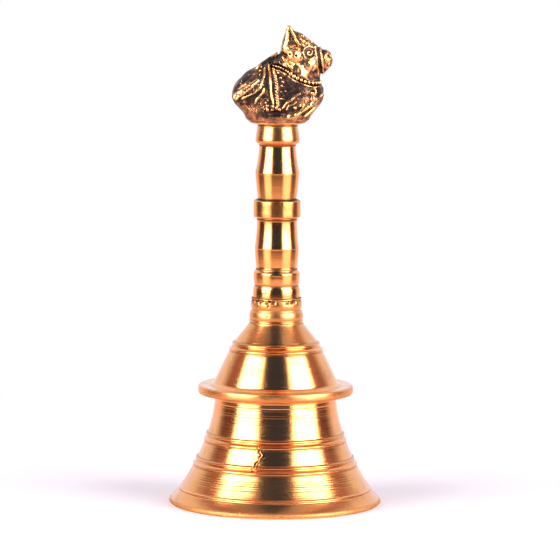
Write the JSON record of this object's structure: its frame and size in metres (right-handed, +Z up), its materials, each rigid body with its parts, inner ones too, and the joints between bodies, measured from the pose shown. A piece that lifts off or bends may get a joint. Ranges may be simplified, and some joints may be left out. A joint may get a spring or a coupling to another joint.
{
  "type": "hand bell",
  "caption": "Flared hand bell with a turned grip, a sitting bull finial and a clapper on a swivelling hanger.",
  "frame": {"origin": "centre of the mouth plane, on the surface that the bell stands on", "axes": "+Z up the bell's axis towards the bull, +X the way the bull faces, +Y to the bull's left"},
  "size_m": [0.0728, 0.0728, 0.1641],
  "materials": {
    "bell_brass": "turned and polished",
    "grip_brass": "turned and polished",
    "bull_brass": "cast, darkened in the recesses",
    "clapper_brass": "turned, tarnished",
    "steel_fittings": "plain turned steel"
  },
  "bodies": {
    "bell": {"bell_shell": "bell_brass", "lower_grip": "grip_brass", "upper_grip": "grip_brass", "bull_finial": "bull_brass", "tie_nipple": "steel_fittings", "crown_washer": "steel_fittings", "crown_nut": "steel_fittings", "grip_stud": "steel_fittings", "finial_stud": "steel_fittings"},
    "hanger": {"hanger_eye": "steel_fittings", "hanger_washer": "steel_fittings"},
    "clapper": {"clapper_rod": "clapper_brass", "clapper_bob": "clapper_brass"}
  },
  "joints": [
    {"name": "clapper_turn", "type": "hinge", "parent": "bell", "child": "hanger", "pos_m": [0, 0, 0.0464], "axis": [0, 0, 1], "continuous": true},
    {"name": "clapper_swing", "type": "hinge", "parent": "hanger", "child": "clapper", "pos_m": [0, 0, 0.0464], "axis": [0, 1, 0], "range_deg": [-27.5, 27.5]}
  ]
}
